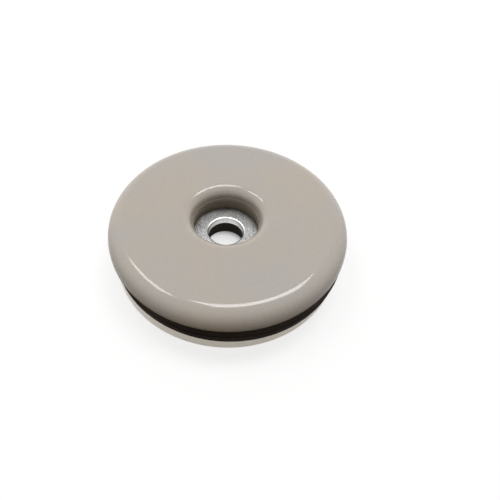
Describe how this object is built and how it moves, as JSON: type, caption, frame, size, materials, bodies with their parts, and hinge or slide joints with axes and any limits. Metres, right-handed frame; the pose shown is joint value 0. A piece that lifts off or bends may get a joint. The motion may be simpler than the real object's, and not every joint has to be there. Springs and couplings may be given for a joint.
{
  "type": "furniture glide",
  "caption": "Round screw-on furniture glide: glossy sliding disc over a rubber cushion and a base plate, with a washer sunk in its central hole for the screw.",
  "frame": {"origin": "centre of the base plate's flat face, which lies against the furniture leg", "axes": "+Z along the screw hole's axis, from the base plate to the sliding face"},
  "size_m": [0.05, 0.05, 0.012],
  "materials": {
    "taupe_plastic": "gloss",
    "black_rubber": "matte",
    "plate_plastic": "satin",
    "zinc_steel": "zinc plated, grainy"
  },
  "bodies": {
    "root": {"sliding_disc": "taupe_plastic", "rubber_cushion": "black_rubber", "base_plate": "plate_plastic", "washer": "zinc_steel"}
  },
  "joints": []
}
